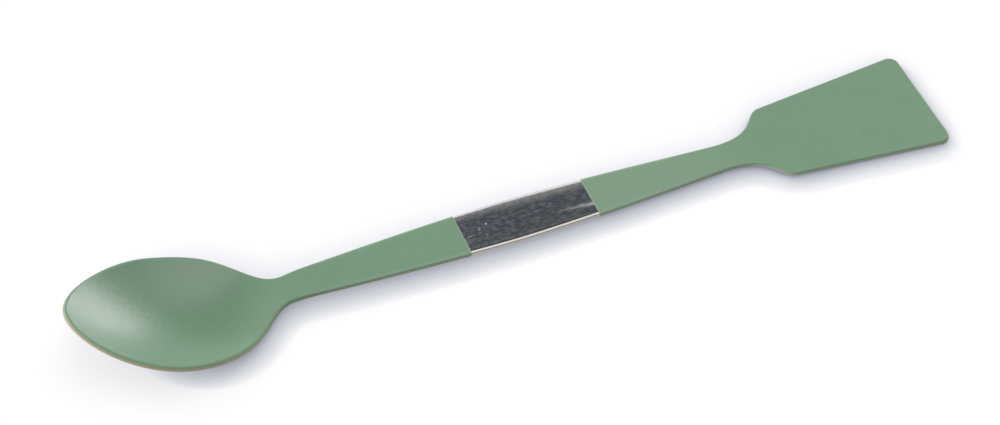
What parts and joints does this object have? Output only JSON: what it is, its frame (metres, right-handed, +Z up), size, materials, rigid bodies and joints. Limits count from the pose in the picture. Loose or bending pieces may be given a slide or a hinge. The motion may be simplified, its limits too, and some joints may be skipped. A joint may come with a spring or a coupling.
{
  "type": "lab spatula",
  "caption": "Double-ended lab spatula: a spoon and a flared flat blade pressed from one steel strip, with a green non-stick coat round both ends and a bare band on the handle.",
  "frame": {"origin": "on the table under the middle of the overall length, on the centre line", "axes": "+X along the length from the spoon to the blade, +Y across the width, +Z up from the table it rests on"},
  "size_m": [0.1806, 0.029, 0.0151],
  "materials": {
    "steel": "polished lengthwise, with fine scratches",
    "coat": "satin non-stick coat"
  },
  "bodies": {
    "root": {"steel_body": "steel", "spoon_coat": "coat", "blade_coat": "coat"}
  },
  "joints": []
}
